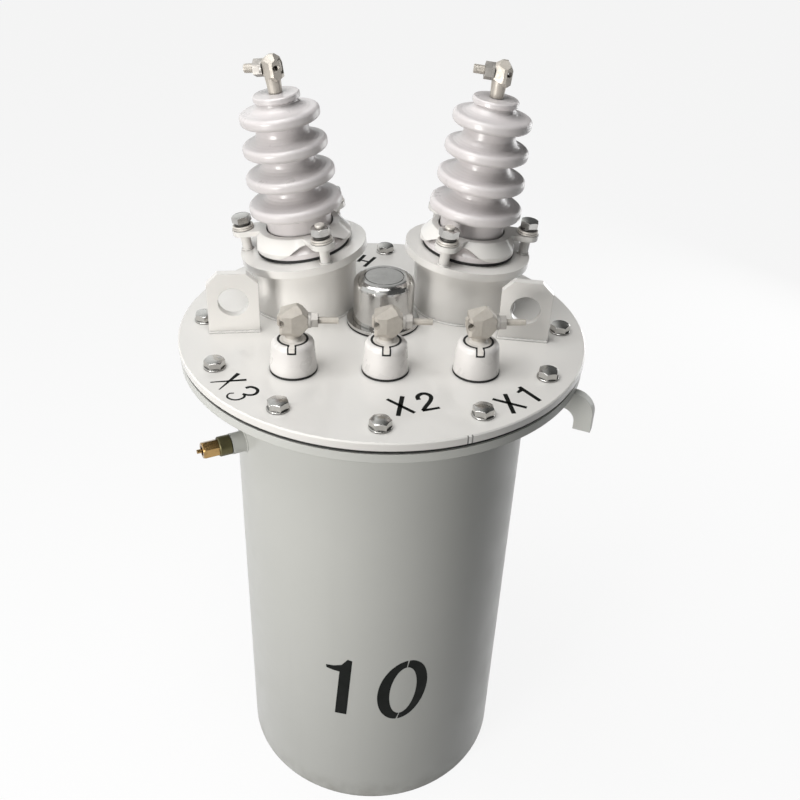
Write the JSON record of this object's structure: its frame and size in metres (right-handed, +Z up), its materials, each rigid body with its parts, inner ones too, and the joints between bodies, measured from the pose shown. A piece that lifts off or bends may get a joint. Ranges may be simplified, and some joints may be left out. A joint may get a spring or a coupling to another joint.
{
  "type": "pole mounted transformer",
  "caption": "Round oil-filled tank with bolted cover, leaning porcelain high-voltage bushings, low-voltage bushings, lifting eyes and pole brackets.",
  "frame": {"origin": "centre of the tank's foot, on the ground", "axes": "+Z up the tank, -Y toward the low-voltage bushings, +X to the right seen from there"},
  "size_m": [0.4016, 0.4, 0.8003],
  "materials": {
    "grey_paint": "gloss",
    "black_rubber": "matte",
    "black_paint": "satin",
    "hv_glaze": "gloss",
    "lv_glaze": "gloss",
    "tinned_metal": "satin",
    "stainless": "polished",
    "brass": "satin"
  },
  "bodies": {
    "root": {"tank_shell": "grey_paint", "tank_bottom": "grey_paint", "tank_flange": "grey_paint", "cover_gasket": "black_rubber", "cover_plate": "grey_paint", "hv_turret_left": "grey_paint", "hv_turret_right": "grey_paint", "hv_gaskets": "black_rubber", "hv_insulator_left": "hv_glaze", "hv_insulator_right": "hv_glaze", "hv_clamp_left": "grey_paint", "hv_clamp_right": "grey_paint", "hv_terminal_left": "tinned_metal", "hv_terminal_right": "tinned_metal", "hv_eyebolt_left": "tinned_metal", "hv_eyebolt_right": "tinned_metal", "hv_nuts": "stainless", "lv_gaskets": "black_rubber", "lv_insulator_x1": "lv_glaze", "lv_insulator_x2": "lv_glaze", "lv_insulator_x3": "lv_glaze", "lv_terminal_x1": "tinned_metal", "lv_terminal_x2": "tinned_metal", "lv_terminal_x3": "tinned_metal", "lv_eyebolt_x1": "tinned_metal", "lv_eyebolt_x2": "tinned_metal", "lv_eyebolt_x3": "tinned_metal", "lv_nuts": "stainless", "access_cap": "stainless", "cap_gasket": "black_rubber", "lifting_eye_left": "grey_paint", "lifting_eye_right": "grey_paint", "lifting_hook_left": "grey_paint", "lifting_hook_right": "grey_paint", "valve_stub": "grey_paint", "valve_collar": "brass", "valve_body": "brass", "pole_bracket_upper": "grey_paint", "pole_bracket_lower": "grey_paint"}
  },
  "joints": []
}
